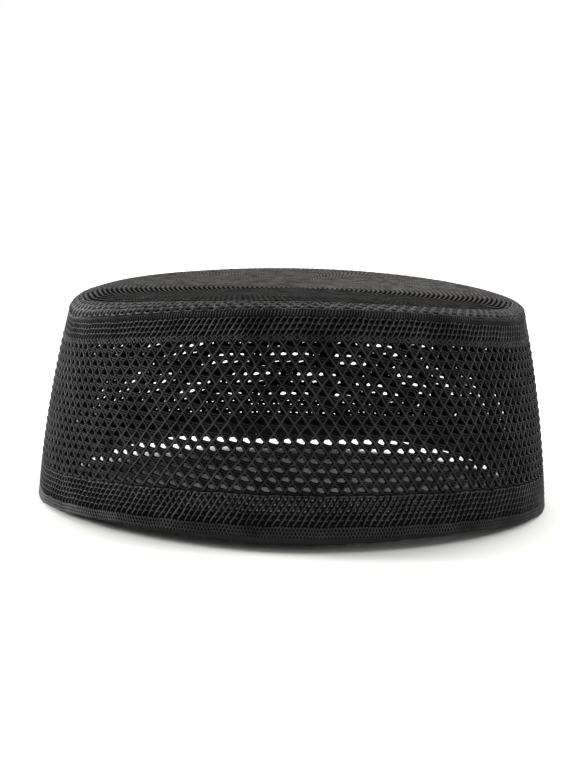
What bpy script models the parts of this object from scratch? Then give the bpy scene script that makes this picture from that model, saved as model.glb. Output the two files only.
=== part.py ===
"""A knitted kufi: a round pillbox prayer cap with an open net wall.

Metres, +Z up. The cap stands on its rim with its front towards -Y. The origin is on the
floor, under the middle of the crown. The rim touches the floor along both sides and rises
a little at the front and at the back, as the soft cap does when it stands by itself.
"""
import math

import bmesh
import bpy

# Cloth
CLOTH_THICKNESS = 0.0016
HEM_THICKNESS = 0.0022
TAPE_THICKNESS = 0.0009
SEAM_THICKNESS = 0.0010
EDGE_ROUNDING = 0.0004
SEAT_GAP = 0.0003

# Wall, measured on its outer face
RIM_RADIUS = 0.0925
EDGE_RADIUS = 0.0822
WALL_SWELL = 0.0014
HEM_HEIGHT = 0.0036
LOWER_BORDER_HEIGHT = 0.0084
NET_HEIGHT = 0.0464
UPPER_BORDER_HEIGHT = 0.0062
EDGE_ROLL_HEIGHT = 0.0026
EDGE_ROLL_BULGE = 0.0005
TAPE_HEIGHT = 0.0090

# Crown
RIDGE_RADIUS = 0.0684
SHOULDER_RISE = 0.0060
SHOULDER_FULLNESS = 1.3
CENTRE_RISE = 0.0016
DENT_DEPTH = 0.0012
DENT_REACH = 0.0240
DENT_X = 0.0180
DENT_Y = 0.0430

# How the soft cap stands: what its front and back rise above its sides
RIM_LIFT_FRONT = 0.0049
RIM_LIFT_BACK = 0.0080
TAPE_DROP = 0.0032
EDGE_LIFT_FRONT = 0.0099
EDGE_LIFT_BACK = 0.0053
RIDGE_LIFT_FRONT = 0.0065
RIDGE_LIFT_BACK = 0.0008
EDGE_LEAN = 0.0017
SIDE_FLAT_SHARE = 0.10
RIM_FULLNESS = 3.4
TAPE_FULLNESS = 1.3
EDGE_FULLNESS = 2.05

# Net: staggered diamond gaps
GAP_COLUMNS = 30
GAP_ROWS = 4
NET_STRAND = 0.0028

# Back seam
SEAM_WIDTH = 0.0040
SEAM_BEARING = math.radians(171.0)
SEAM_STEPS = 14

# Roundness
ROUND_STEPS = 2 * GAP_COLUMNS
ROLL_STEPS = 10
SHOULDER_STEPS = 6
CROWN_STEPS = 4
POLE_RADIUS = 0.0070
MERGE_DISTANCE = 0.00001

# Places of the bands, from the rim up
BORDER_BOTTOM = HEM_HEIGHT + SEAT_GAP
BORDER_TOP = BORDER_BOTTOM + LOWER_BORDER_HEIGHT
NET_BOTTOM = BORDER_TOP + SEAT_GAP
NET_TOP = NET_BOTTOM + NET_HEIGHT
UPPER_BOTTOM = NET_TOP + SEAT_GAP
UPPER_TOP = UPPER_BOTTOM + UPPER_BORDER_HEIGHT
ROLL_BOTTOM = UPPER_TOP + SEAT_GAP
ROLL_TOP = ROLL_BOTTOM + EDGE_ROLL_HEIGHT
CROWN_FOOT = ROLL_TOP + SEAT_GAP
RIDGE_HEIGHT = CROWN_FOOT + SHOULDER_RISE
CENTRE_HEIGHT = RIDGE_HEIGHT + CENTRE_RISE

YARN_BLACK = (0.013, 0.013, 0.014, 1.0)
YARN_GREY = (0.030, 0.029, 0.031, 1.0)
TAPE_BLACK = (0.010, 0.010, 0.011, 1.0)


def clear_scene():
    """Remove every object that the scene holds."""
    for old in list(bpy.data.objects):
        bpy.data.objects.remove(old, do_unlink=True)


def yarn_material(name, colour, roughness):
    """Make one Principled material for a sub-part."""
    material = bpy.data.materials.new(name)
    material.use_nodes = True
    shader = material.node_tree.nodes["Principled BSDF"]
    shader.inputs["Base Color"].default_value = colour
    shader.inputs["Roughness"].default_value = roughness
    shader.inputs["Metallic"].default_value = 0.0
    material.diffuse_color = colour
    return material


def rise(bearing, front, back, fullness):
    """Lift at a bearing, given its most at the front and at the back: 0 along both sides."""
    full = front if math.cos(bearing) > 0.0 else back
    level = 1.0 - abs(math.sin(bearing)) ** fullness
    return full * max(0.0, (level - SIDE_FLAT_SHARE) / (1.0 - SIDE_FLAT_SHARE))


def rim_lift(bearing, drop):
    """Lift of the rim, or of a piece that hangs a little below it at its front and back."""
    lift = rise(bearing, RIM_LIFT_FRONT, RIM_LIFT_BACK, RIM_FULLNESS)
    return lift - rise(bearing, drop, drop, TAPE_FULLNESS)


def edge_lift(bearing):
    """Lift of the crown's edge, which also leans a little to one side."""
    lift = rise(bearing, EDGE_LIFT_FRONT, EDGE_LIFT_BACK, EDGE_FULLNESS)
    return lift + EDGE_LEAN * math.sin(bearing)


def ridge_height(bearing):
    """Height of the ridge where the crown's shoulder meets its top."""
    return RIDGE_HEIGHT + rise(bearing, RIDGE_LIFT_FRONT, RIDGE_LIFT_BACK, EDGE_FULLNESS)


def wall_radius(height):
    """Outer radius of the wall at a height above the rim, before the cap is lifted."""
    share = height / ROLL_TOP
    cone = RIM_RADIUS + (EDGE_RADIUS - RIM_RADIUS) * share
    return cone + WALL_SWELL * 4.0 * share * (1.0 - share)


def wall_point(bearing, height, depth, drop=0.0):
    """Point of the wall: depth is measured inwards from its outer face."""
    share = height / ROLL_TOP
    lift = rim_lift(bearing, drop) * (1.0 - share) + edge_lift(bearing) * share
    radius = wall_radius(height) - depth
    return (radius * math.sin(bearing), -radius * math.cos(bearing), height + lift)


def crown_point(bearing, turn, depth):
    """Point of the crown's shoulder: turn runs from 0 at the ridge to 90 degrees at its foot."""
    foot = CROWN_FOOT + edge_lift(bearing)
    ridge = ridge_height(bearing)
    reach = math.sin(turn) ** SHOULDER_FULLNESS
    radius = RIDGE_RADIUS + (EDGE_RADIUS - RIDGE_RADIUS) * reach
    height = foot + (ridge - foot) * math.cos(turn)
    radius -= depth * math.sin(turn)
    height -= depth * math.cos(turn)
    return (radius * math.sin(bearing), -radius * math.cos(bearing), height)


def crown_top_point(bearing, radius, depth):
    """Point of the nearly flat top, with its raised middle and a soft dent behind it."""
    share = (radius / RIDGE_RADIUS) ** 2
    ridge = ridge_height(bearing)
    x = radius * math.sin(bearing)
    y = -radius * math.cos(bearing)
    reach = ((x - DENT_X) ** 2 + (y - DENT_Y) ** 2) / DENT_REACH ** 2
    dent = DENT_DEPTH * math.exp(-2.0 * reach) * (1.0 - share)
    return (x, y, CENTRE_HEIGHT + (ridge - CENTRE_HEIGHT) * share - dent - depth)


def bearings():
    """Bearings of the stations around the cap, from the front through +X."""
    return [2.0 * math.pi * step / ROUND_STEPS for step in range(ROUND_STEPS)]


def loft_rings(bm, rings, closed):
    """Skin rings of points one after the other, and join the last to the first if asked."""
    loops = [[bm.verts.new(point) for point in ring] for ring in rings]
    followers = loops[1:] + loops[:1] if closed else loops[1:]
    for loop, follower in zip(loops, followers):
        join_loops(bm, loop, follower)
    return loops


def join_loops(bm, loop, follower):
    """Join two rings of vertices with one quad for each station."""
    for i in range(len(loop)):
        bm.faces.new((loop[i - 1], loop[i], follower[i], follower[i - 1]))


def finish_object(name, bm, material):
    """Turn a bmesh into a named object with outward faces and its material."""
    bmesh.ops.recalc_face_normals(bm, faces=bm.faces[:])
    mesh = bpy.data.meshes.new(name)
    bm.to_mesh(mesh)
    bm.free()
    mesh.shade_smooth()
    mesh.set_sharp_from_angle(angle=math.radians(40.0))
    mesh.materials.append(material)
    piece = bpy.data.objects.new(name, mesh)
    bpy.context.scene.collection.objects.link(piece)
    return piece


def band_outline(low, high, thickness):
    """Cross-section of a flat band as (height, depth) points, with its four edges eased."""
    ease = min(EDGE_ROUNDING, 0.3 * thickness, 0.3 * (high - low))
    return [
        (low, ease),
        (low + ease, 0.0),
        (high - ease, 0.0),
        (high, ease),
        (high, thickness - ease),
        (high - ease, thickness),
        (low + ease, thickness),
        (low, thickness - ease),
    ]


def make_band(name, outline, material, drop=0.0):
    """Make a band that runs round the whole wall from a cross-section."""
    bm = bmesh.new()
    rings = []
    for height, depth in outline:
        rings.append([wall_point(b, height, depth, drop) for b in bearings()])
    loft_rings(bm, rings, closed=True)
    return finish_object(name, bm, material)


def make_hem_band():
    """Fine ribbed hem that ends the wall at the rim."""
    outline = band_outline(0.0, HEM_HEIGHT, HEM_THICKNESS)
    return make_band("hem_band", outline, yarn_material("hem_yarn", YARN_BLACK, 0.62))


def make_hem_tape():
    """Smooth tape inside the hem, which hangs below it at the front."""
    outer = HEM_THICKNESS + SEAT_GAP
    inner = outer + TAPE_THICKNESS
    outline = [(0.0, outer), (TAPE_HEIGHT, outer), (TAPE_HEIGHT, inner), (0.0, inner)]
    material = yarn_material("tape_cloth", TAPE_BLACK, 0.48)
    return make_band("hem_tape", outline, material, TAPE_DROP)


def make_lower_border():
    """Small-eyelet band between the hem and the net."""
    outline = band_outline(BORDER_BOTTOM, BORDER_TOP, CLOTH_THICKNESS)
    return make_band("lower_border", outline, yarn_material("lower_yarn", YARN_BLACK, 0.60))


def make_upper_border():
    """Small-eyelet band between the net and the rolled edge."""
    outline = band_outline(UPPER_BOTTOM, UPPER_TOP, CLOTH_THICKNESS)
    return make_band("upper_border", outline, yarn_material("upper_yarn", YARN_BLACK, 0.60))


def make_crown_edge():
    """Dense rolled edge where the wall turns into the crown."""
    middle = 0.5 * (ROLL_BOTTOM + ROLL_TOP)
    half_height = 0.5 * EDGE_ROLL_HEIGHT
    half_depth = 0.5 * (CLOTH_THICKNESS + EDGE_ROLL_BULGE)
    outline = []
    for step in range(ROLL_STEPS):
        turn = 2.0 * math.pi * step / ROLL_STEPS
        height = middle + half_height * math.sin(turn)
        depth = half_depth - EDGE_ROLL_BULGE - half_depth * math.cos(turn)
        outline.append((height, depth))
    return make_band("crown_edge", outline, yarn_material("roll_yarn", YARN_GREY, 0.58))


def net_lattice(bm):
    """Draw the net unrolled flat: u is the arc at the rim's radius, v the height."""
    column_pitch = 2.0 * math.pi * RIM_RADIUS / ROUND_STEPS
    row_pitch = NET_HEIGHT / (GAP_ROWS + 1)
    knots = {}
    for level in range(GAP_ROWS + 2):
        border = level in (0, GAP_ROWS + 1)
        for step in range(-1, ROUND_STEPS + 1):
            if border or (step + level) % 2 == 0:
                place = (step * column_pitch, NET_BOTTOM + level * row_pitch, 0.0)
                knots[step, level] = bm.verts.new(place)
    diamonds = []
    for level in range(GAP_ROWS + 2):
        for step in range(ROUND_STEPS):
            if (step + level) % 2 == 0:
                continue
            left = knots[step - 1, level]
            right = knots[step + 1, level]
            if level == 0:
                bm.faces.new((left, knots[step, level], knots[step, level + 1]))
                bm.faces.new((knots[step, level], right, knots[step, level + 1]))
            elif level == GAP_ROWS + 1:
                bm.faces.new((knots[step, level], left, knots[step, level - 1]))
                bm.faces.new((right, knots[step, level], knots[step, level - 1]))
            else:
                corners = (left, knots[step, level - 1], right, knots[step, level + 1])
                diamonds.append(bm.faces.new(corners))
    loose = [vert for vert in bm.verts if not vert.link_faces]
    bmesh.ops.delete(bm, geom=loose, context="VERTS")
    bm.normal_update()
    return diamonds


def make_net_wall():
    """Coarse net wall: a lattice of diamonds, each cut through, wrapped round the cap."""
    bm = bmesh.new()
    diamonds = net_lattice(bm)
    bmesh.ops.inset_individual(bm, faces=diamonds, thickness=NET_STRAND, use_even_offset=True)
    bmesh.ops.delete(bm, geom=diamonds, context="FACES")
    for vert in bm.verts:
        arc, height, _ = vert.co
        vert.co = wall_point(arc / RIM_RADIUS, height, 0.0)
    bmesh.ops.remove_doubles(bm, verts=bm.verts[:], dist=MERGE_DISTANCE)
    piece = finish_object("net_wall", bm, yarn_material("net_yarn", YARN_BLACK, 0.60))
    wall = piece.modifiers.new("wall", "SOLIDIFY")
    wall.thickness = CLOTH_THICKNESS
    wall.offset = -1.0
    return piece


def make_crown():
    """Crown: a shell with a round shoulder and a nearly flat top."""
    rings = []
    turns = [0.5 * math.pi * step / SHOULDER_STEPS for step in range(SHOULDER_STEPS, 0, -1)]
    top_radii = []
    for step in range(CROWN_STEPS, -1, -1):
        top_radii.append(POLE_RADIUS + (RIDGE_RADIUS - POLE_RADIUS) * step / CROWN_STEPS)
    for turn in turns:
        rings.append([crown_point(b, turn, 0.0) for b in bearings()])
    for radius in top_radii:
        rings.append([crown_top_point(b, radius, 0.0) for b in bearings()])
    outer_count = len(rings)
    for radius in reversed(top_radii):
        rings.append([crown_top_point(b, radius, CLOTH_THICKNESS) for b in bearings()])
    for turn in reversed(turns):
        rings.append([crown_point(b, turn, CLOTH_THICKNESS) for b in bearings()])
    bm = bmesh.new()
    outer = loft_rings(bm, rings[:outer_count], closed=False)
    inner = loft_rings(bm, rings[outer_count:], closed=False)
    join_loops(bm, outer[0], inner[-1])
    for pole in (outer[-1], inner[0]):
        bmesh.ops.poke(bm, faces=[bm.faces.new(pole)])
    return finish_object("crown", bm, yarn_material("crown_yarn", YARN_GREY, 0.58))


def make_back_seam():
    """Upright joining seam on the inner face of the back wall."""
    bm = bmesh.new()
    low = TAPE_HEIGHT + SEAT_GAP
    high = UPPER_TOP - EDGE_ROUNDING
    outer = CLOTH_THICKNESS + SEAT_GAP
    rings = []
    for step in range(SEAM_STEPS + 1):
        height = low + (high - low) * step / SEAM_STEPS
        half_turn = 0.5 * SEAM_WIDTH / wall_radius(height)
        left = SEAM_BEARING - half_turn
        right = SEAM_BEARING + half_turn
        rings.append([
            wall_point(left, height, outer),
            wall_point(right, height, outer),
            wall_point(right, height, outer + SEAM_THICKNESS),
            wall_point(left, height, outer + SEAM_THICKNESS),
        ])
    loops = loft_rings(bm, rings, closed=False)
    bm.faces.new(loops[0])
    bm.faces.new(loops[-1])
    return finish_object("back_seam", bm, yarn_material("seam_yarn", YARN_BLACK, 0.62))


def main():
    clear_scene()
    pieces = [
        make_hem_band(),
        make_hem_tape(),
        make_lower_border(),
        make_net_wall(),
        make_upper_border(),
        make_crown_edge(),
        make_crown(),
        make_back_seam(),
    ]
    kufi = bpy.data.objects.new("kufi", None)
    bpy.context.scene.collection.objects.link(kufi)
    for piece in pieces:
        piece.parent = kufi


main()
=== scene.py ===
"""Dress of the kufi: a black machine-knitted net prayer cap that stands on a pale floor.

Every size is in metres unless its name says otherwise. The cap's front faces -Y, +Z is up and
the origin is on the floor under the middle of the crown. Each knitted piece is drawn as one
stitch cell on a flat strip, repeated along the strip, and wrapped round the cap.
"""
import logging
import math
from dataclasses import dataclass, field
from enum import Enum

import bmesh
import bpy
import numpy as np
from mathutils import Matrix, Vector


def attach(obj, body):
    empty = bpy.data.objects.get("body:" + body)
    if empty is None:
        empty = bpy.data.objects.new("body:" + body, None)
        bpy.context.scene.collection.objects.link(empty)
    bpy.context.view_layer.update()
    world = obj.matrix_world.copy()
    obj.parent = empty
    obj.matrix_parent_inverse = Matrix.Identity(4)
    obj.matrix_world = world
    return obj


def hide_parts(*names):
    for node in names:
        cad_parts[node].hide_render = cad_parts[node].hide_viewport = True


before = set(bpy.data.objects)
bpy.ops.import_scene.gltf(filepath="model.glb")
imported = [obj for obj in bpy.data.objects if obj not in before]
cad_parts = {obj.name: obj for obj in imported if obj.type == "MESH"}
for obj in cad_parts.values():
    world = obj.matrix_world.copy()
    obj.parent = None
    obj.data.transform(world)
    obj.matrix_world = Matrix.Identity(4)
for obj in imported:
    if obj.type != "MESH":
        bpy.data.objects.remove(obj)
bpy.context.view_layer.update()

LOG = logging.getLogger("kufi")
TURN = 2.0 * math.pi
MM = 0.001

# Neighbouring stitch cells are joined where they meet within this distance.
WELD_MM = 0.004
# A plain lining stands this far out of the cloth's outer face, and is this thick.
LINING_FACE_MM = -1.2
LINING_MM = 0.35
# How far uneven tension moves the stitches: along the row, again but finer, and up the cloth.
SLACK_ALONG_MM = 0.16
SLACK_FINE_MM = 0.09
SLACK_UP_MM = 0.09

Share = tuple[float, float]
Point = tuple[float, float, float]
Thread = list[Point]


class Ground(Enum):
    """The surface of the cap that a flat strip is wrapped on."""

    WALL = "wall"
    TAPE = "tape"
    CROWN = "crown"


@dataclass(frozen=True)
class CapForm:
    """Shape of the soft cap as it stands: flat at both sides, raised at its front and back."""

    rim_radius: float = 0.0925
    edge_radius: float = 0.0822
    wall_swell: float = 0.0014
    edge_height: float = 0.0684
    crown_foot: float = 0.0687
    ridge_radius: float = 0.0684
    ridge_height: float = 0.0747
    centre_height: float = 0.0763
    shoulder_fullness: float = 1.3
    shoulder_steps: int = 60
    mean_rise: float = 0.8
    dent_depth: float = 0.0012
    dent_reach: float = 0.0240
    dent_place: Share = (0.018, 0.043)
    rim_lift: Share = (0.0049, 0.0080)
    tape_drop: float = 0.0032
    tape_fullness: float = 1.3
    edge_lift: Share = (0.0099, 0.0053)
    ridge_lift: Share = (0.0065, 0.0008)
    edge_lean: float = 0.0017
    side_flat: float = 0.10
    rim_fullness: float = 3.4
    edge_fullness: float = 2.05

    def rise(self, bearing: np.ndarray, lifts: Share, fullness: float) -> np.ndarray:
        """Work out how far the soft cap is raised.

        Args:
            bearing: angles from the front towards +X.
            lifts: the lift at the front and at the back.
            fullness: how soon the lift is reached on the way from the side.

        Returns:
            The lift at each bearing.
        """
        full = np.where(np.cos(bearing) > 0.0, lifts[0], lifts[1])
        level = 1.0 - np.abs(np.sin(bearing)) ** fullness
        return full * np.maximum(0.0, (level - self.side_flat) / (1.0 - self.side_flat))

    def edge_rise(self, bearing: np.ndarray) -> np.ndarray:
        """Lift of the crown's edge, with its small lean to one side."""
        lift = self.rise(bearing, self.edge_lift, self.edge_fullness)
        return lift + self.edge_lean * np.sin(bearing)

    def wall(
        self, bearing: np.ndarray, height: np.ndarray, out: np.ndarray, drop: float = 0.0
    ) -> np.ndarray:
        """Place points on the wall.

        Args:
            bearing: angles from the front.
            height: heights above the rim.
            out: distances out from the wall's outer face.
            drop: how far the piece hangs below the rim at its front and back.

        Returns:
            One row of x, y and z for each point.
        """
        share = height / self.edge_height
        cone = self.rim_radius + (self.edge_radius - self.rim_radius) * share
        radius = cone + self.wall_swell * 4.0 * share * (1.0 - share) + out
        rim = self.rise(bearing, self.rim_lift, self.rim_fullness)
        rim -= self.rise(bearing, (drop, drop), self.tape_fullness)
        lift = rim * (1.0 - share) + self.edge_rise(bearing) * share
        return np.column_stack(
            (radius * np.sin(bearing), -radius * np.cos(bearing), height + lift)
        )

    def shoulder_turn(self, along: np.ndarray) -> tuple[np.ndarray, float]:
        """Turn a distance along the shoulder into an angle of its round section.

        Args:
            along: distances from the crown's foot inwards.

        Returns:
            The angles, from a right angle at the foot to 0 at the ridge, and the shoulder's length.
        """
        turn = np.linspace(0.5 * math.pi, 0.0, self.shoulder_steps)
        across = (self.edge_radius - self.ridge_radius) * np.sin(turn) ** self.shoulder_fullness
        up = self.mean_rise * (self.ridge_height - self.crown_foot) * np.cos(turn)
        steps = np.hypot(np.diff(across), np.diff(up))
        length = np.concatenate(([0.0], np.cumsum(steps)))
        return np.interp(along, length, turn), float(length[-1])

    def crown(self, bearing: np.ndarray, along: np.ndarray, out: np.ndarray) -> np.ndarray:
        """Place points on the crown's shoulder and top.

        Args:
            bearing: angles from the front.
            along: distances from the crown's foot inwards over the cloth.
            out: distances out from the cloth.

        Returns:
            One row of x, y and z for each point.
        """
        turn, length = self.shoulder_turn(along)
        ridge = self.ridge_height + self.rise(bearing, self.ridge_lift, self.edge_fullness)
        foot = self.crown_foot + self.edge_rise(bearing)
        spread = (self.edge_radius - self.ridge_radius) * np.sin(turn) ** self.shoulder_fullness
        inner = np.maximum(0.0, self.ridge_radius - np.maximum(0.0, along - length))
        share = (inner / self.ridge_radius) ** 2
        top = self.centre_height + (ridge - self.centre_height) * share
        on_top = along > length
        radius = np.where(on_top, inner, self.ridge_radius + spread)
        height = np.where(on_top, top, foot + (ridge - foot) * np.cos(turn))
        height = height + np.minimum(along, 0.0)
        radius = radius + out * np.sin(turn)
        x = radius * np.sin(bearing)
        y = -radius * np.cos(bearing)
        gap = (x - self.dent_place[0]) ** 2 + (y - self.dent_place[1]) ** 2
        dent = self.dent_depth * np.exp(-2.0 * gap / self.dent_reach**2) * (1.0 - share)
        return np.column_stack((x, y, height + out * np.cos(turn) - dent))

    def place(self, ground: Ground, flat: np.ndarray) -> np.ndarray:
        """Wrap flat points on one of the cap's surfaces.

        Args:
            ground: the surface.
            flat: x along the rim, y up the cloth and z out of it, one row for each point.

        Returns:
            The points on the cap.
        """
        bearing = flat[:, 0] / self.rim_radius
        if ground is Ground.CROWN:
            return self.crown(bearing, flat[:, 1], flat[:, 2])
        drop = self.tape_drop if ground is Ground.TAPE else 0.0
        return self.wall(bearing, flat[:, 1], flat[:, 2], drop)


CAP = CapForm()


def linear(hex_colour: str) -> tuple[float, float, float, float]:
    """Turn an sRGB hex colour into the linear colour that a shader takes.

    Args:
        hex_colour: six hex digits after a hash sign.

    Returns:
        Red, green, blue and alpha.
    """
    channels = [int(hex_colour[i : i + 2], 16) / 255.0 for i in (1, 3, 5)]
    curve = [c / 12.92 if c <= 0.04045 else ((c + 0.055) / 1.055) ** 2.4 for c in channels]
    return (curve[0], curve[1], curve[2], 1.0)


def add_node(
    tree: bpy.types.NodeTree, kind: str, settings: dict | None = None, links: dict | None = None
) -> bpy.types.Node:
    """Add a node with its settings and links.

    Args:
        tree: the node tree.
        kind: the node's type name.
        settings: attributes of the node, or values of its inputs by socket name.
        links: output sockets to join to its inputs, by socket name or number.

    Returns:
        The new node.
    """
    node = tree.nodes.new(kind)
    for name, value in (settings or {}).items():
        if isinstance(name, str) and hasattr(node, name):
            setattr(node, name, value)
        else:
            node.inputs[name].default_value = value
    for name, socket in (links or {}).items():
        tree.links.new(socket, node.inputs[name])
    return node


@dataclass(frozen=True)
class YarnFinish:
    """Dyed polyester yarn, machine-knitted: nearly black, with a soft grey light on each turn.

    Broad soft patches and fuzz shift its tone. Its plies and the fuzz also stand up as bump. Real
    fuzz is finer than a pixel of the photograph, so it is drawn as coarse as it needs to show.
    """

    name: str
    light: str = "#3e3d3e"
    dark: str = "#0c0c0c"
    roughness: float = 0.42
    specular: float = 0.09
    ply_mm: float = 0.30
    rib_mm: float = 0.0
    rib_start_mm: float = 0.0
    stitch_mm: float = 2.306
    slant_rings: float = 3.3
    fuzz_mm: float = 0.45
    fuzz_share: float = 0.55
    shade_mm: float = 9.0
    tone_span: Share = (0.40, 1.15)
    ply_share: float = 0.6
    bump_mm: float = 0.05
    bump_strength: float = 0.6

    def make(self) -> bpy.types.Material:
        """Build the material.

        Returns:
            A material whose colour shifts softly over the cloth, with plies and fuzz as bump.
        """
        material = bpy.data.materials.new(self.name)
        material.use_nodes = True
        tree = material.node_tree
        shader = tree.nodes["Principled BSDF"]
        place = add_node(tree, "ShaderNodeTexCoord").outputs["Object"]
        flat = add_node(tree, "ShaderNodeUVMap", {"uv_map": "Stitch"}).outputs["UV"]
        shade = add_node(
            tree,
            "ShaderNodeTexNoise",
            {"Scale": 1.0 / (self.shade_mm * MM), "Detail": 3.0, "Roughness": 0.6},
            {"Vector": place},
        )
        fuzz = add_node(
            tree,
            "ShaderNodeTexNoise",
            {"Scale": 1.0 / (self.fuzz_mm * MM), "Detail": 2.0},
            {"Vector": place},
        )
        mixed = add_node(
            tree,
            "ShaderNodeMath",
            {"operation": "MULTIPLY_ADD", 1: self.fuzz_share},
            {0: fuzz.outputs["Fac"], 2: shade.outputs["Fac"]},
        )
        spread = add_node(
            tree,
            "ShaderNodeMapRange",
            {"From Min": self.tone_span[0], "From Max": self.tone_span[1]},
            {"Value": mixed.outputs[0]},
        )
        # Painted shade in the grooves between the raised rings and between their stitches.
        if self.rib_mm > 0.0:
            spread = self.paint_groove_shade(tree, flat, spread)
        colour = add_node(
            tree,
            "ShaderNodeMix",
            {"data_type": "RGBA", 6: linear(self.dark), 7: linear(self.light)},
            {0: spread.outputs[0]},
        )
        ply = add_node(
            tree,
            "ShaderNodeTexWave",
            {"Scale": 1.0 / (TURN * self.ply_mm), "Distortion": 1.2, "bands_direction": "DIAGONAL"},
            {"Vector": flat},
        )
        height = add_node(
            tree,
            "ShaderNodeMath",
            {"operation": "MULTIPLY_ADD", 1: self.ply_share},
            {0: ply.outputs["Fac"], 2: fuzz.outputs["Fac"]},
        )
        bump = add_node(
            tree,
            "ShaderNodeBump",
            {"Strength": self.bump_strength, "Distance": self.bump_mm * MM},
            {"Height": height.outputs[0]},
        )
        tree.links.new(colour.outputs[2], shader.inputs["Base Color"])
        tree.links.new(bump.outputs["Normal"], shader.inputs["Normal"])
        shader.inputs["Roughness"].default_value = self.roughness
        shader.inputs["Specular IOR Level"].default_value = self.specular
        shader.inputs["Metallic"].default_value = 0.0
        material.diffuse_color = linear(self.light)
        return material

    def paint_groove_shade(
        self, tree: bpy.types.NodeTree, flat: bpy.types.NodeSocket, spread: bpy.types.Node
    ) -> bpy.types.Node:
        """Paint shade into the tone in the grooves between raised rings and between their stitches.

        Args:
            tree: the material's node tree.
            flat: the flat place on the cloth, in millimetres.
            spread: the node whose first output is the tone so far.

        Returns:
            The node whose first output is the tone with its painted shade.
        """
        across = add_node(tree, "ShaderNodeSeparateXYZ", {}, {0: flat})
        phase = add_node(
            tree,
            "ShaderNodeMath",
            {"operation": "MULTIPLY_ADD", 1: TURN / self.rib_mm,
             2: -TURN * self.rib_start_mm / self.rib_mm},
            {0: across.outputs["Y"]},
        )
        wave = add_node(tree, "ShaderNodeMath", {"operation": "COSINE"}, {0: phase.outputs[0]})
        # Painted shade: full tone on each ring's crest, falling in the groove between rings.
        crest = add_node(
            tree,
            "ShaderNodeMapRange",
            {"From Min": 0.8, "From Max": -0.9},
            {"Value": wave.outputs[0]},
        )
        slant = add_node(
            tree,
            "ShaderNodeMath",
            {"operation": "MULTIPLY", 1: TURN / (self.slant_rings * self.rib_mm)},
            {0: across.outputs["Y"]},
        )
        along = add_node(
            tree,
            "ShaderNodeMath",
            {"operation": "MULTIPLY_ADD", 1: TURN / self.stitch_mm},
            {0: across.outputs["X"], 2: slant.outputs[0]},
        )
        turn = add_node(tree, "ShaderNodeMath", {"operation": "SINE"}, {0: along.outputs[0]})
        # Painted shade between the stitches, along the slanted lines of the knit's own stitches.
        stitch = add_node(
            tree,
            "ShaderNodeMapRange",
            {"From Min": -1.0, "From Max": 0.5, "To Min": 0.35},
            {"Value": turn.outputs[0]},
        )
        rings = add_node(
            tree,
            "ShaderNodeMath",
            {"operation": "MULTIPLY"},
            {0: crest.outputs[0], 1: stitch.outputs[0]},
        )
        return add_node(
            tree,
            "ShaderNodeMath",
            {"operation": "MULTIPLY"},
            {0: spread.outputs[0], 1: rings.outputs[0]},
        )


# Painted shade for the cloth between and behind the threads: dull, and darker the deeper it is.
CLOSE_CLOTH = YarnFinish("polyester_cloth_close", light="#1d1c1e", dark="#0a0a0b", specular=0.0)
INNER_CLOTH = YarnFinish("polyester_cloth_inner", light="#151516", dark="#070707", specular=0.0)
# Painted shade: the turns of yarn under the net's crossing threads get less light than these.
DEEP_YARN = YarnFinish("polyester_yarn_deep", light="#2c2b2c", dark="#080808")


@dataclass(frozen=True)
class TapeFinish:
    """Woven polyester binding tape: smooth, with a dull satin light along its fine ribs."""

    name: str = "polyester_tape_woven"
    light: str = "#2b2a2b"
    dark: str = "#1c1c1d"
    rib_mm: float = 0.35
    rib_depth_mm: float = 0.04
    rib_strength: float = 0.35
    shade_mm: float = 6.0
    roughness: float = 0.42
    specular: float = 0.08

    def make(self) -> bpy.types.Material:
        """Build the material.

        Returns:
            A material with fine upright ribs and a soft change of tone.
        """
        material = bpy.data.materials.new(self.name)
        material.use_nodes = True
        tree = material.node_tree
        shader = tree.nodes["Principled BSDF"]
        place = add_node(tree, "ShaderNodeTexCoord").outputs["Object"]
        flat = add_node(tree, "ShaderNodeUVMap", {"uv_map": "Stitch"}).outputs["UV"]
        shade = add_node(
            tree,
            "ShaderNodeTexNoise",
            {"Scale": 1.0 / (self.shade_mm * MM), "Detail": 2.0},
            {"Vector": place},
        )
        colour = add_node(
            tree,
            "ShaderNodeMix",
            {"data_type": "RGBA", 6: linear(self.dark), 7: linear(self.light)},
            {0: shade.outputs["Fac"]},
        )
        ribs = add_node(
            tree,
            "ShaderNodeTexWave",
            {"Scale": 1.0 / (TURN * self.rib_mm), "Distortion": 0.4},
            {"Vector": flat},
        )
        bump = add_node(
            tree,
            "ShaderNodeBump",
            {"Strength": self.rib_strength, "Distance": self.rib_depth_mm * MM},
            {"Height": ribs.outputs["Fac"]},
        )
        tree.links.new(colour.outputs[2], shader.inputs["Base Color"])
        tree.links.new(bump.outputs["Normal"], shader.inputs["Normal"])
        shader.inputs["Roughness"].default_value = self.roughness
        shader.inputs["Specular IOR Level"].default_value = self.specular
        material.diffuse_color = linear(self.light)
        return material


@dataclass(frozen=True)
class Strip:
    """How a stitch cell repeats on the flat strip before it is wrapped."""

    ground: Ground
    columns: int
    rows: int
    low: float
    pitch: float
    shift: float = 0.5

    @property
    def width(self) -> float:
        """Width of one cell at the rim."""
        return TURN * CAP.rim_radius / self.columns

    def at(self, u: float, v: float, out_mm: float = 0.0) -> Point:
        """Turn cell shares, counted from the cell's middle, into a flat point.

        Args:
            u: share of the cell's width.
            v: share of the cell's height.
            out_mm: distance out of the cloth, in millimetres.

        Returns:
            The flat point in metres.
        """
        return (u * self.width, self.low + (v + 0.5) * self.pitch, out_mm * MM)


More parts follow.
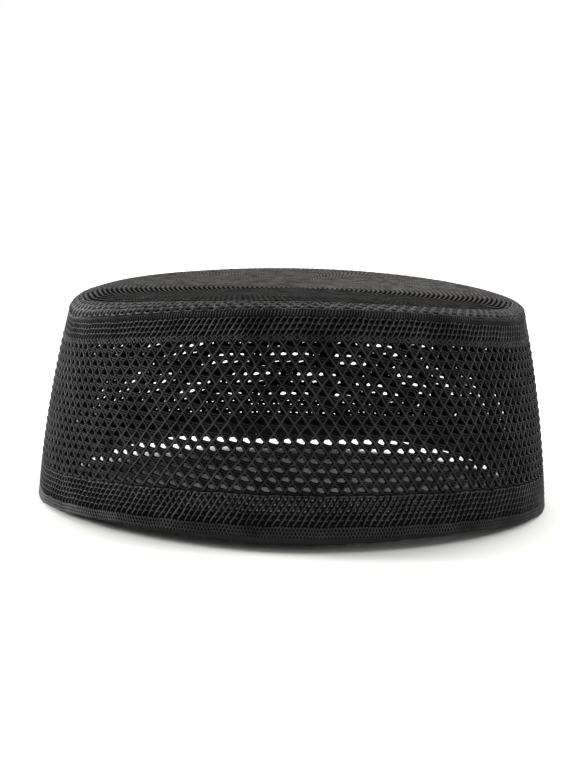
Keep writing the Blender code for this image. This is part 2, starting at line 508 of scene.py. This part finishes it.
def evaluated_mesh(holder: bpy.types.Object, name: str) -> bpy.types.Mesh:
    """Turn an object with its modifiers into a mesh, and remove the object.

    Args:
        holder: a mesh or curve object that is not yet in the scene.
        name: name of the new mesh.

    Returns:
        The finished mesh.
    """
    bpy.context.scene.collection.objects.link(holder)
    graph = bpy.context.evaluated_depsgraph_get()
    mesh = bpy.data.meshes.new_from_object(holder.evaluated_get(graph))
    mesh.name = name
    bpy.data.objects.remove(holder, do_unlink=True)
    return mesh


def thread_cell(strip: Strip, threads: list[Thread], radius_mm: float) -> bpy.types.Mesh:
    """Draw the threads of one stitch cell as round yarn.

    Args:
        strip: the strip that the cell belongs to.
        threads: points of each thread, in cell shares and millimetres out of the cloth.
        radius_mm: radius of the yarn.

    Returns:
        The cell's mesh, with closed ends.
    """
    curve = bpy.data.curves.new("thread_cell", "CURVE")
    curve.dimensions = "3D"
    curve.twist_mode = "Z_UP"
    curve.bevel_depth = radius_mm * MM
    # Four sides are enough for a thread that is repeated thousands of times.
    curve.bevel_resolution = 0
    curve.use_fill_caps = True
    for thread in threads:
        spline = curve.splines.new("POLY")
        spline.points.add(len(thread) - 1)
        for point, place in zip(spline.points, thread):
            point.co = (*strip.at(*place), 1.0)
    return evaluated_mesh(bpy.data.objects.new("thread_cell", curve), "thread_cell")


def pierced_cell(strip: Strip, hole: list[Share]) -> bpy.types.Mesh:
    """Cut one hole in one brick-shaped cell of a thin sheet.

    Args:
        strip: the strip that the cell belongs to.
        hole: six corners of the hole in cell shares, from its lower left round by the right.

    Returns:
        The cell's mesh.
    """
    brick = [(-0.5, -0.5), (0.0, -0.5), (0.5, -0.5), (0.5, 0.5), (0.0, 0.5), (-0.5, 0.5)]
    bm = bmesh.new()
    bmesh.ops.create_circle(bm, cap_ends=True, segments=len(brick), radius=strip.width)
    face = bm.faces[:][0]
    for vert, place in zip(face.verts, brick):
        vert.co = strip.at(*place)
    bm.normal_update()
    bmesh.ops.inset_region(bm, faces=[face], thickness=0.1 * strip.pitch, use_boundary=True)
    for vert, place in zip(face.verts, hole):
        vert.co = strip.at(*place)
    bmesh.ops.delete(bm, geom=[face], context="FACES")
    mesh = bpy.data.meshes.new("pierced_cell")
    bm.to_mesh(mesh)
    bm.free()
    return mesh


def section_cell(strip: Strip, section: list[Share]) -> bpy.types.Mesh:
    """Sweep a closed section one column along the strip.

    Args:
        strip: the strip that the cell belongs to.
        section: height above the strip's foot and distance out, both in millimetres.

    Returns:
        A short open tube, whose repeats close to a ring.
    """
    bm = bmesh.new()
    bmesh.ops.create_circle(bm, segments=len(section), radius=strip.width)
    bm.verts.ensure_lookup_table()
    for vert, (height, out) in zip(bm.verts, section):
        vert.co = (0.0, strip.low + height * MM, out * MM)
    swept = bmesh.ops.extrude_edge_only(bm, edges=bm.edges[:])
    moved = [item for item in swept["geom"] if isinstance(item, bmesh.types.BMVert)]
    bmesh.ops.translate(bm, verts=moved, vec=(strip.width, 0.0, 0.0))
    mesh = bpy.data.meshes.new("section_cell")
    bm.to_mesh(mesh)
    bm.free()
    return mesh


def repeat_cell(cell: bpy.types.Mesh, strip: Strip, name: str) -> bpy.types.Mesh:
    """Repeat a cell along and up its strip with two Array modifiers.

    Args:
        cell: mesh of one cell.
        strip: the strip's counts and pitches.
        name: name of the new mesh.

    Returns:
        The flat mesh of the whole strip.
    """
    holder = bpy.data.objects.new(name, cell)
    runs = (
        (strip.columns, (strip.width, 0.0, 0.0)),
        (strip.rows, (strip.shift * strip.width, strip.pitch, 0.0)),
    )
    for count, step in runs:
        array = holder.modifiers.new("run", "ARRAY")
        array.use_relative_offset = False
        array.use_constant_offset = True
        array.constant_offset_displace = step
        array.count = count
    return evaluated_mesh(holder, name)


def slack(flat: np.ndarray) -> np.ndarray:
    """Move flat points a little, as uneven tension does in a real knit.

    Args:
        flat: flat points, one row each.

    Returns:
        The moved points. The same place always moves the same way, so threads stay on their holes.
    """
    bearing = flat[:, 0] / CAP.rim_radius
    rise = flat[:, 1] / CAP.edge_height
    moved = flat.copy()
    along = np.sin(31 * bearing + 21 * rise) + np.sin(53 * bearing - 34 * rise)
    fine = np.sin(88 * bearing + 57 * rise + 1.0)
    up = np.sin(27 * bearing + 1.7) + np.sin(61 * bearing - 40 * rise)
    moved[:, 0] += SLACK_ALONG_MM * MM * along
    moved[:, 0] += SLACK_FINE_MM * MM * fine
    moved[:, 1] += SLACK_UP_MM * MM * up
    return moved


def wrap(mesh: bpy.types.Mesh, ground: Ground, weld: bool) -> None:
    """Wrap a flat mesh round the cap and keep its flat place as its UV map, in millimetres.

    Args:
        mesh: the flat mesh.
        ground: the surface that it lies on.
        weld: whether neighbouring cells are joined to one sheet.
    """
    flat = np.empty(3 * len(mesh.vertices))
    mesh.vertices.foreach_get("co", flat)
    flat = flat.reshape(-1, 3)
    corners = np.empty(len(mesh.loops), dtype=np.int32)
    mesh.loops.foreach_get("vertex_index", corners)
    while mesh.uv_layers:
        mesh.uv_layers.remove(mesh.uv_layers[0])
    layer = mesh.uv_layers.new(name="Stitch")
    layer.uv.foreach_set("vector", (flat[corners, :2] / MM).astype(np.float32).ravel())
    mesh.vertices.foreach_set("co", CAP.place(ground, slack(flat)).ravel())
    bm = bmesh.new()
    bm.from_mesh(mesh)
    if weld:
        bmesh.ops.remove_doubles(bm, verts=bm.verts[:], dist=WELD_MM * MM)
    bmesh.ops.recalc_face_normals(bm, faces=bm.faces[:])
    bm.to_mesh(mesh)
    bm.free()
    mesh.shade_smooth()


@dataclass
class KnitPart:
    """A sub-assembly of the cap: it knows its CAD node, its slot and its finishes."""

    node: str
    slot: str
    finish: YarnFinish | TapeFinish
    # Dark cloth finishes here are painted shade; the crown's has painted sheen and groove shade.
    cloth_finish: YarnFinish | None = None
    pieces: list[bpy.types.Object] = field(default_factory=list)
    looks: dict[str, YarnFinish | None] = field(default_factory=dict)

    def add(self, name: str, mesh: bpy.types.Mesh, strip: Strip, weld: bool) -> bpy.types.Object:
        """Wrap a flat mesh, and add it to the scene as a piece of this sub-assembly.

        Args:
            name: name of the piece.
            mesh: its flat mesh.
            strip: the strip that it was drawn on.
            weld: whether its cells are joined to one sheet.

        Returns:
            The new object.
        """
        wrap(mesh, strip.ground, weld)
        piece = bpy.data.objects.new(name, mesh)
        bpy.context.scene.collection.objects.link(piece)
        self.pieces.append(piece)
        return piece

    def add_sheet(self, name: str, strip: Strip, hole: list[Share], thick_mm: float) -> None:
        """Add a pierced sheet with a thickness that grows inwards.

        Args:
            name: name of the piece.
            strip: the strip that it lies on.
            hole: corners of the hole in each cell.
            thick_mm: thickness of the sheet.
        """
        mesh = repeat_cell(pierced_cell(strip, hole), strip, name)
        piece = self.add(name, mesh, strip, weld=True)
        wall = piece.modifiers.new("wall", "SOLIDIFY")
        wall.thickness = thick_mm * MM
        wall.offset = -1.0

    def add_threads(self, name: str, strip: Strip, threads: list[Thread], radius_mm: float) -> None:
        """Add threads that repeat in each cell.

        Args:
            name: name of the piece.
            strip: the strip that they lie on.
            threads: the threads of one cell.
            radius_mm: radius of the yarn.
        """
        mesh = repeat_cell(thread_cell(strip, threads, radius_mm), strip, name)
        self.add(name, mesh, strip, weld=False)

    def add_lining(self, strip: Strip, low_mm: float, high_mm: float) -> None:
        """Add a thin plain ring of close cloth behind a pierced sheet; its near-black is painted
        shade.

        Args:
            strip: the strip of the sheet.
            low_mm: foot of the lining above the strip's foot.
            high_mm: its top above the strip's foot.
        """
        ring = Strip(strip.ground, strip.columns, 1, strip.low, strip.pitch)
        face, back = LINING_FACE_MM, LINING_FACE_MM - LINING_MM
        section = [(low_mm, back), (high_mm, back), (high_mm, face), (low_mm, face)]
        name = self.node + "_lining"
        self.add_ring(name, ring, section)
        self.looks[name] = INNER_CLOTH

    def add_ring(self, name: str, strip: Strip, section: list[Share]) -> None:
        """Add a closed ring with the same section all round.

        Args:
            name: name of the piece.
            strip: the strip that it lies on.
            section: the ring's section in millimetres.
        """
        mesh = repeat_cell(section_cell(strip, section), strip, name)
        self.add(name, mesh, strip, weld=True)

    def dress(self) -> None:
        """Give every piece its finish and its body, and hide the CAD node that it stands for."""
        for piece in self.pieces:
            finish = self.looks.get(piece.name) or self.finish
            piece.data.materials.clear()
            piece.data.materials.append(bpy.data.materials.get(finish.name) or finish.make())
            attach(piece, "root")
            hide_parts(self.node)
            faces = len(piece.data.polygons)
            LOG.info("%s: %d faces, stands for %s", piece.name, faces, self.node)


def double(thread: Thread, apart: float) -> list[Thread]:
    """Lay two threads side by side.

    Args:
        thread: the middle line.
        apart: half the distance between the two, in shares of a cell's width.

    Returns:
        The two threads.
    """
    return [[(u + side * apart, v, out) for u, v, out in thread] for side in (-1.0, 1.0)]


@dataclass
class NetWall(KnitPart):
    """Open net: 16 rows of 126 tent-shaped holes, each under a roof of doubled threads."""

    columns: int = 126
    rows: int = 16
    low: float = 0.0128
    height: float = 0.0466
    cloth_mm: float = 0.8
    thread_mm: float = 0.14
    apart: float = 0.032
    loop_mm: float = 0.13

    def build(self) -> None:
        """Make the pierced sheet, the crossing threads and the loops below each hole."""
        strip = Strip(Ground.WALL, self.columns, self.rows, self.low, self.height / self.rows)
        tent = [
            (-0.30, 0.08), (-0.06, -0.05), (0.23, -0.12), (0.31, 0.04), (0.08, 0.42), (-0.24, 0.35),
        ]
        self.add_sheet("net_backing", strip, tent, self.cloth_mm)
        # The backing is the recessed yarn round each hole; its near-black is painted shade.
        self.looks["net_backing"] = self.cloth_finish
        # Each thread lies over the next one at one of its ends, and under it at the other end.
        for side, name in ((-1.0, "left"), (1.0, "right")):
            roof = [
                (side * 0.02, 0.84, 0.30 + 0.16 * side),
                (side * 0.25, 0.42, 0.16),
                (side * 0.44, 0.04, 0.16),
                (side * 0.53, -0.18, 0.30 - 0.16 * side),
            ]
            threads = double(roof, self.apart)
            self.add_threads("net_threads_" + name, strip, threads, self.thread_mm)
        loops: list[Thread] = []
        for left, right, reach, out in ((-0.06, -0.34, 0.42, 0.24), (-0.34, -0.56, 0.26, 0.14)):
            middle = 0.5 * (left + right)
            loops.append([
                (-reach, left, 0.02),
                (-0.3 * reach, middle + 0.02, out),
                (0.3 * reach, middle - 0.05, out),
                (reach, right, 0.02),
            ])
        self.add_threads("net_loops", strip, loops, self.loop_mm)
        self.looks["net_loops"] = DEEP_YARN


@dataclass
class EyeletBorder(KnitPart):
    """Close band with rows of small slanted eyelets between diagonal threads."""

    columns: int = 252
    rows: int = 5
    low: float = 0.0038
    height: float = 0.0088
    cloth_mm: float = 0.8
    thread_mm: float = 0.20
    open_share: float = 0.62
    lined: bool = False
    lap_mm: float = 0.3
    dense: float = 0.0
    dense_rows: int = 2
    stitch_mm: float = 0.17

    def build(self) -> None:
        """Make the pierced sheet, its lining, its diagonal threads and the close strip below."""
        pitch = (self.height - self.dense) / self.rows
        strip = Strip(Ground.WALL, self.columns, self.rows, self.low + self.dense, pitch)
        widest = [
            (-0.30, -0.24), (0.06, -0.30), (0.30, -0.06),
            (0.30, 0.24), (-0.06, 0.30), (-0.30, 0.06),
        ]
        slit = [(self.open_share * u, self.open_share * v) for u, v in widest]
        self.add_sheet(self.node + "_cloth", strip, slit, self.cloth_mm)
        self.looks[self.node + "_cloth"] = self.cloth_finish
        if self.lined:
            top = (self.height - self.dense) / MM
            self.add_lining(strip, -self.lap_mm - self.dense / MM, top + self.lap_mm)
        rising = [(0.20, -0.58, 0.05), (0.40, -0.20, 0.22), (0.60, 0.20, 0.22), (0.80, 0.58, 0.05)]
        falling = [(-0.44, 0.38, 0.02), (-0.16, 0.48, 0.14), (0.16, 0.36, 0.02)]
        self.add_threads(self.node + "_threads", strip, [rising, falling], self.thread_mm)
        if self.dense > 0.0:
            self.build_close_strip()

    def build_close_strip(self) -> None:
        """Make the strip of close stitches below the eyelets."""
        top = self.dense / MM
        ring = Strip(Ground.WALL, self.columns, 1, self.low, self.dense)
        section = [(-0.4, -1.1), (top, -1.1), (top, 0.0), (-0.4, 0.0)]
        self.add_ring(self.node + "_close_cloth", ring, section)
        self.looks[self.node + "_close_cloth"] = self.cloth_finish
        pitch = self.dense / self.dense_rows
        rows = Strip(Ground.WALL, self.columns, self.dense_rows, self.low, pitch)
        vee: list[Thread] = [[(-0.45, 0.45, 0.0), (0.0, -0.40, 0.25), (0.45, 0.45, 0.0)]]
        self.add_threads(self.node + "_close_stitches", rows, vee, self.stitch_mm)


@dataclass
class Hem(KnitPart):
    """Fine hem of small close stitches that ends the wall at the rim."""

    columns: int = 252
    height: float = 0.0036
    thick_mm: float = 2.2
    stitch_rows: int = 3
    stitch_low: float = 0.0001
    stitch_share: float = 0.92
    stitch_mm: float = 0.17

    def build(self) -> None:
        """Make the hem's core and the rows of small stitches on it."""
        ring = Strip(Ground.WALL, self.columns, 1, 0.0, self.height)
        top = self.height / MM
        section = [
            (0.5, 0.0), (top - 0.5, 0.0), (top - 0.1, -0.4), (top - 0.1, -self.thick_mm + 0.3),
            (top - 0.4, -self.thick_mm), (0.4, -self.thick_mm), (0.0, -self.thick_mm + 0.4),
            (0.0, -0.45),
        ]
        self.add_ring("hem_core", ring, section)
        self.looks["hem_core"] = self.cloth_finish
        pitch = self.stitch_share * self.height / self.stitch_rows
        rows = Strip(Ground.WALL, 2 * self.columns, self.stitch_rows, self.stitch_low, pitch)
        vee: list[Thread] = [[(-0.42, 0.40, 0.02), (0.0, -0.40, 0.22), (0.42, 0.40, 0.02)]]
        self.add_threads("hem_stitches", rows, vee, self.stitch_mm)


@dataclass
class HemTape(KnitPart):
    """Smooth tape inside the hem, which hangs a little below it at the front."""

    columns: int = 180
    height_mm: float = 9.0
    outer_mm: float = 2.5
    thick_mm: float = 0.9

    def build(self) -> None:
        """Sweep the tape's section round the cap, with a softly rounded lower edge."""
        ring = Strip(Ground.TAPE, self.columns, 1, 0.0, self.height_mm * MM)
        near, far = -self.outer_mm, -self.outer_mm - self.thick_mm
        section = [
            (0.25, near), (1.6, near + 0.12), (3.4, near), (self.height_mm - 0.2, near),
            (self.height_mm, 0.5 * (near + far)), (self.height_mm - 0.2, far), (0.25, far),
            (0.0, 0.5 * (near + far)),
        ]
        self.add_ring("tape_band", ring, section)


@dataclass
class CrownEdge(KnitPart):
    """Dense roll where the wall turns into the crown, bound by close upright stitches."""

    columns: int = 252
    low: float = 0.0665
    height_mm: float = 2.3
    thick_mm: float = 1.1
    bulge_mm: float = 0.5
    steps: int = 10
    stitch_mm: float = 0.20

    def build(self) -> None:
        """Make the roll's core and the stitches over it."""
        ring = Strip(Ground.WALL, self.columns, 1, self.low, self.height_mm * MM)
        section: list[Share] = []
        for step in range(self.steps):
            turn = TURN * step / self.steps
            height = 0.5 * self.height_mm * (1.0 + math.sin(turn))
            out = 0.5 * (self.thick_mm + self.bulge_mm) * math.cos(turn) - 0.5 * self.thick_mm
            section.append((height, out))
        self.add_ring("roll_core", ring, section)
        self.looks["roll_core"] = self.cloth_finish
        stitch: list[Thread] = [[
            (-0.22, -0.46, -0.25),
            (-0.12, -0.18, 0.34),
            (0.12, 0.18, 0.34),
            (0.22, 0.46, -0.25),
        ]]
        over = Strip(Ground.WALL, 2 * self.columns, 1, self.low, self.height_mm * MM, 0.0)
        self.add_threads("roll_stitches", over, stitch, self.stitch_mm)


@dataclass
class Crown(KnitPart):
    """Round top: a shoulder with three rows of slanted eyelets, then raised rings to its middle."""

    columns: int = 126
    eyelet_rows: int = 3
    eyelet_pitch: float = 0.00185
    low: float = 0.0001
    cloth_mm: float = 0.7
    thread_mm: float = 0.22
    apart: float = 0.05
    ring_pitch: float = 0.00175
    ring_height_mm: float = 0.75
    ring_sink: float = 0.7
    top_mm: float = 0.9
    lining_foot_mm: float = 1.4
    lining_lap_mm: float = 0.4
    stations: int = 180
    steps_per_ring: int = 3
    pole_radius: float = 0.0010

    def build(self) -> None:
        """Make the shoulder's eyelets and the ringed top."""
        strip = Strip(Ground.CROWN, self.columns, self.eyelet_rows, self.low, self.eyelet_pitch)
        deep = self.eyelet_rows * self.eyelet_pitch
        slit = [
            (-0.38, -0.26), (0.00, -0.36), (0.22, -0.10),
            (0.24, 0.26), (-0.14, 0.36), (-0.36, 0.06),
        ]
        self.add_sheet("shoulder_cloth", strip, slit, self.cloth_mm)
        self.add_lining(strip, -self.lining_foot_mm, deep / MM + self.lining_lap_mm)
        rising = [(0.18, -0.60, 0.05), (0.30, -0.20, 0.25), (0.40, 0.20, 0.25), (0.56, 0.60, 0.05)]
        falling = [(-0.40, 0.44, 0.02), (-0.10, 0.50, 0.18), (0.30, 0.40, 0.02)]
        threads = double(rising, self.apart) + [falling]
        self.add_threads("shoulder_threads", strip, threads, self.thread_mm)
        self.build_top(self.low + deep)

    def build_top(self, start: float) -> None:
        """Make the ringed top as one sheet from a grid.

        Args:
            start: distance from the crown's foot where the first ring begins.
        """
        length = CAP.shoulder_turn(np.zeros(1))[1] + CAP.ridge_radius - self.pole_radius
        steps = round((length - start) / self.ring_pitch) * self.steps_per_ring
        ring = Strip(Ground.CROWN, self.stations, 1, start, length - start)
        bm = bmesh.new()
        bmesh.ops.create_grid(bm, x_segments=1, y_segments=steps, size=0.5)
        for vert in bm.verts:
            share = vert.co.y + 0.5
            phase = share * steps / self.steps_per_ring
            swell = 0.5 - 0.5 * math.cos(TURN * phase)
            vert.co = (
                (vert.co.x + 0.5) * ring.width,
                start + share * (length - start),
                (swell - self.ring_sink) * self.ring_height_mm * MM,
            )
        mesh = bpy.data.meshes.new("top_cell")
        bm.to_mesh(mesh)
        bm.free()
        flat = repeat_cell(mesh, ring, "crown_rings")
        piece = self.add("crown_rings", flat, ring, weld=True)
        # The rings take the crown's finish, with its painted sheen and painted groove shade.
        self.looks["crown_rings"] = self.cloth_finish
        self.close_pole(piece.data)
        wall = piece.modifiers.new("wall", "SOLIDIFY")
        wall.thickness = self.top_mm * MM
        wall.offset = -1.0

    def close_pole(self, mesh: bpy.types.Mesh) -> None:
        """Close the small opening that is left at the middle of the crown.

        Args:
            mesh: mesh of the ringed top.
        """
        bm = bmesh.new()
        bm.from_mesh(mesh)
        reach = 2.0 * self.pole_radius
        rim = [e for e in bm.edges if e.is_boundary and e.verts[0].co.xy.length < reach]
        bmesh.ops.holes_fill(bm, edges=rim, sides=0)
        bmesh.ops.recalc_face_normals(bm, faces=bm.faces[:])
        bm.to_mesh(mesh)
        bm.free()
        mesh.shade_smooth()


@dataclass
class BackSeam(KnitPart):
    """Overlocked joining seam of the wall: a strip inside and a stitched line outside."""

    bearing: float = math.radians(171.0)
    width: float = 0.0040
    low: float = 0.0093
    high: float = 0.0651
    steps: int = 60
    inward_mm: float = 2.4
    thick_mm: float = 1.0
    overlock_mm: float = 0.2
    line_mm: float = 0.22

    def build(self) -> None:
        """Make the strip on the inside of the wall and the overlock stitches across it."""
        count = self.steps
        pitch = (self.high - self.low) / count
        centre = self.bearing * CAP.rim_radius
        bm = bmesh.new()
        bmesh.ops.create_cube(bm, size=1.0)
        sides = [edge for edge in bm.edges if abs(edge.verts[0].co.y - edge.verts[1].co.y) > 0.5]
        bmesh.ops.subdivide_edges(bm, edges=sides, cuts=count - 1, use_grid_fill=True)
        for vert in bm.verts:
            vert.co = (
                centre + vert.co.x * self.width,
                self.low + (vert.co.y + 0.5) * (self.high - self.low),
                (vert.co.z * self.thick_mm - self.inward_mm) * MM,
            )
        strip = Strip(Ground.WALL, 1, count, self.low, pitch, 0.0)
        mesh = bpy.data.meshes.new("seam_strip")
        bm.to_mesh(mesh)
        bm.free()
        self.add("seam_strip", mesh, strip, weld=False)
        half = 0.5 * self.width / strip.width
        middle = centre / strip.width
        inside = [[
            (middle - half, -0.4, -2.9),
            (middle, 0.0, -3.05),
            (middle + half, 0.4, -2.9),
        ]]
        self.add_threads("seam_overlock", strip, inside, self.overlock_mm)
        outside = [[
            (middle - 0.18 * half, -0.5, 0.15),
            (middle + 0.10 * half, -0.1, 0.38),
            (middle + 0.18 * half, 0.5, 0.15),
        ]]
        self.add_threads("seam_line", strip, outside, self.line_mm)


@dataclass
class Studio:
    """White product table: floor, soft light, and the camera at the photograph's angle."""

    distance: float = 0.740
    height: float = 0.1605
    side: float = -0.00245
    pitch_deg: float = 9.20
    roll_deg: float = 1.50
    focal_px: float = 2045.3
    frame_px: int = 768
    sensor_mm: float = 36.0
    floor_half: float = 4.0
    floor_colour: str = "#a2a2a0"
    light_spread_deg: float = 24.0
    lights: tuple[tuple[str, Point, float], ...] = (
        ("key", (-0.95, 0.25, 0.45), 8.5),
        ("fill", (0.85, 0.12, 0.80), 3.0),
        ("top", (0.00, 0.35, 1.00), 5.0),
    )

    def build(self) -> None:
        """Set up the floor, the lights, the world and the camera."""
        self.lay_floor()
        for name, place, power in self.lights:
            self.hang_light(name, place, power)
        self.light_world()
        self.aim_camera()
        view = bpy.context.scene.view_settings
        view.view_transform = "Standard"
        view.look = "None"
        view.exposure = 0.0
        view.gamma = 1.0

    def lay_floor(self) -> None:
        """Lay a pale painted board under the cap, which the strong light turns white."""
        bm = bmesh.new()
        bmesh.ops.create_grid(bm, x_segments=1, y_segments=1, size=self.floor_half)
        mesh = bpy.data.meshes.new("floor")
        bm.to_mesh(mesh)
        bm.free()
        floor = bpy.data.objects.new("floor", mesh)
        bpy.context.scene.collection.objects.link(floor)
        material = bpy.data.materials.new("board_painted_white")
        material.use_nodes = True
        shader = material.node_tree.nodes["Principled BSDF"]
        shader.inputs["Base Color"].default_value = linear(self.floor_colour)
        shader.inputs["Roughness"].default_value = 0.9
        shader.inputs["Specular IOR Level"].default_value = 0.1
        mesh.materials.append(material)

    def hang_light(self, name: str, place: Point, power: float) -> None:
        """Hang one wide soft light, so far off that it lights the whole floor evenly.

        Args:
            name: name of the light.
            place: the direction that it hangs in, seen from the cap.
            power: its strength in watts for each square metre.
        """
        data = bpy.data.lights.new(name, "SUN")
        data.angle = math.radians(self.light_spread_deg)
        data.energy = power
        light = bpy.data.objects.new(name, data)
        bpy.context.scene.collection.objects.link(light)
        light.location = place
        light.rotation_euler = Vector(place).to_track_quat("Z", "Y").to_euler()

    def light_world(self) -> None:
        """Surround the cap with a plain white sky."""
        world = bpy.data.worlds.new("studio_white")
        bpy.context.scene.world = world
        world.use_nodes = True
        background = world.node_tree.nodes["Background"]
        background.inputs["Color"].default_value = (1.0, 1.0, 1.0, 1.0)
        background.inputs["Strength"].default_value = 1.0

    def aim_camera(self) -> None:
        """Put the camera where the photograph was taken from."""
        data = bpy.data.cameras.new("camera")
        data.sensor_width = self.sensor_mm
        data.lens = self.focal_px * self.sensor_mm / self.frame_px
        data.clip_start = 0.01
        data.clip_end = 20.0
        camera = bpy.data.objects.new("camera", data)
        bpy.context.scene.collection.objects.link(camera)
        tilt = Matrix.Rotation(math.radians(90.0 - self.pitch_deg), 4, "X")
        roll = Matrix.Rotation(math.radians(self.roll_deg), 4, "Z")
        place = Matrix.Translation((self.side, -self.distance, self.height))
        camera.matrix_world = place @ tilt @ roll
        bpy.context.scene.camera = camera


def main() -> None:
    """Build the cap piece by piece, then the studio round it."""
    logging.basicConfig(level=logging.INFO, format="%(message)s", force=True)
    parts = [
        NetWall("net_wall", "net_knit", YarnFinish("polyester_yarn_net"), INNER_CLOTH),
        # The lower border's yarn is drawn lighter than the net's: painted highlight.
        EyeletBorder(
            "lower_border", "border_knit",
            YarnFinish("polyester_yarn_border_painted_highlight", light="#4a494a"), INNER_CLOTH,
        ),
        EyeletBorder(
            "upper_border", "border_knit",
            YarnFinish("polyester_yarn_upper", light="#484748"), CLOSE_CLOTH,
            rows=3, low=0.0593, height=0.0071, dense=0.0018, open_share=1.0, lined=True,
        ),
        Hem(
            "hem_band", "hem_knit",
            YarnFinish("polyester_yarn_hem", light="#4f4e4f", dark="#121212"), CLOSE_CLOTH,
        ),
        HemTape("hem_tape", "tape", TapeFinish()),
        CrownEdge("crown_edge", "roll_knit", YarnFinish("polyester_yarn_roll"), CLOSE_CLOTH),
        Crown(
            "crown", "crown_knit", YarnFinish("polyester_yarn_shoulder"),
            # Lighter than the wall's yarn and without gloss: painted sheen. Its grooves get painted
            # shade.
            YarnFinish(
                "polyester_yarn_crown_painted_light", light="#4d4c4b", dark="#040404", specular=0.0,
                fuzz_mm=0.6, shade_mm=5.0, rib_mm=1.75, rib_start_mm=5.95,
            ),
        ),
        BackSeam("back_seam", "seam_knit", YarnFinish("polyester_yarn_seam")),
    ]
    for part in parts:
        part.build()
        part.dress()
    Studio().build()


if __name__ == "__main__":
    main()
